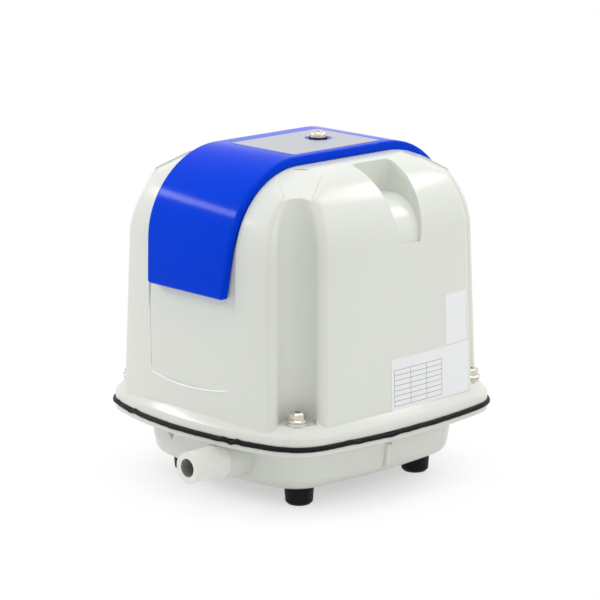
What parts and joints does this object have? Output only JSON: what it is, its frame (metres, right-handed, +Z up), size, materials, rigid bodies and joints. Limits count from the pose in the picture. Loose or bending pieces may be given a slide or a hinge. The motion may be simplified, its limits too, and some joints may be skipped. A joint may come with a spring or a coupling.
{
  "type": "aeration compressor",
  "caption": "Linear diaphragm air pump in a gasketed metal case with a lift-off filter cover, push-in rubber feet and a front hose outlet.",
  "frame": {"origin": "on the floor, midway between the four feet", "axes": "+Z up, -Y towards the outlet side, +X towards the side with the rating plate"},
  "size_m": [0.19, 0.216, 0.2082],
  "materials": {
    "case": "gloss grey-white paint on die-cast metal",
    "gasket": "moulded black rubber",
    "bolt_steel": "nickel-plated steel",
    "blue": "glossy blue moulded plastic",
    "washer_rubber": "black sealing washer",
    "foam": "open-cell filter foam",
    "nozzle": "grey moulded plastic",
    "inner_plastic": "black glass-filled plastic",
    "cast": "die-cast aluminium",
    "steel": "bright steel",
    "magnet": "dark sintered ferrite",
    "lever": "natural moulded plastic",
    "core": "varnished steel laminations",
    "copper": "enamelled copper winding",
    "membrane": "moulded synthetic rubber"
  },
  "bodies": {
    "case": {"bobbin_left": "inner_plastic", "bobbin_right": "inner_plastic", "cable_gland": "gasket", "case_bolts": "bolt_steel", "case_gasket": "gasket", "case_washers": "bolt_steel", "coil_left": "copper", "coil_right": "copper", "diaphragm_front": "membrane", "diaphragm_rear": "membrane", "filter_element": "foam", "foot_front_left": "gasket", "foot_front_right": "gasket", "foot_rear_left": "gasket", "foot_rear_right": "gasket", "head_cover_front": "cast", "head_cover_rear": "cast", "head_screws": "bolt_steel", "hose_clips": "steel", "lower_case": "case", "nozzle_seal": "gasket", "outlet_hose_front": "gasket", "outlet_hose_rear": "gasket", "outlet_nozzle": "nozzle", "pump_frame": "cast", "pump_head_front": "inner_plastic", "pump_head_rear": "inner_plastic", "safety_switch": "inner_plastic", "stator_core_left": "core", "stator_core_right": "core", "stator_screws": "bolt_steel", "tank_cover": "inner_plastic", "tank_cover_screws": "bolt_steel", "tank_gasket": "gasket", "terminal_block": "inner_plastic", "upper_case": "case", "vibration_mount_front_left": "gasket", "vibration_mount_front_right": "gasket", "vibration_mount_rear_left": "gasket", "vibration_mount_rear_right": "gasket"},
    "armature": {"armature_rod": "steel", "magnet_holder": "inner_plastic", "magnets": "magnet", "hub_plates": "steel", "rod_nuts": "bolt_steel"},
    "cover": {"filter_cover": "blue", "cover_screw_washer": "washer_rubber"},
    "screw": {"cover_screw": "bolt_steel"},
    "lever": {"trip_lever": "lever"},
    "intake_flap_front": {"intake_flap_front": "membrane"},
    "intake_flap_rear": {"intake_flap_rear": "membrane"},
    "delivery_flap_front": {"delivery_flap_front": "membrane"},
    "delivery_flap_rear": {"delivery_flap_rear": "membrane"}
  },
  "joints": [
    {"name": "armature_slide", "type": "slide", "parent": "case", "child": "armature", "axis": [0, 1, 0], "range_m": [-0.0025, 0.0025], "stiffness_N_per_m": 8000, "deforming": ["diaphragm_front", "diaphragm_rear"]},
    {"name": "filter_cover_lift", "type": "slide", "parent": "case", "child": "cover", "axis": [0, 0, 1], "range_m": [0, 0.09]},
    {"name": "cover_screw_turn", "type": "hinge", "parent": "cover", "child": "screw", "pos_m": [0, 0.014, 0.2], "axis": [0, 0, 1], "continuous": true},
    {"name": "trip_lever_turn", "type": "hinge", "parent": "case", "child": "lever", "pos_m": [0, 0.0375, 0.1212], "axis": [1, 0, 0], "range_deg": [0, 8], "stiffness_Nm_per_rad": 0.002},
    {"name": "intake_flap_front_lift", "type": "hinge", "parent": "case", "child": "intake_flap_front", "pos_m": [0, -0.05695, 0.1305], "axis": [1, 0, 0], "range_deg": [0, 12], "stiffness_Nm_per_rad": 0.0004},
    {"name": "intake_flap_rear_lift", "type": "hinge", "parent": "case", "child": "intake_flap_rear", "pos_m": [0, 0.05695, 0.1305], "axis": [-1, 0, 0], "range_deg": [0, 12], "stiffness_Nm_per_rad": 0.0004},
    {"name": "delivery_flap_front_lift", "type": "hinge", "parent": "case", "child": "delivery_flap_front", "pos_m": [0, -0.06005, 0.0895], "axis": [-1, 0, 0], "range_deg": [0, 12], "stiffness_Nm_per_rad": 0.0004},
    {"name": "delivery_flap_rear_lift", "type": "hinge", "parent": "case", "child": "delivery_flap_rear", "pos_m": [0, 0.06005, 0.0895], "axis": [1, 0, 0], "range_deg": [0, 12], "stiffness_Nm_per_rad": 0.0004}
  ]
}
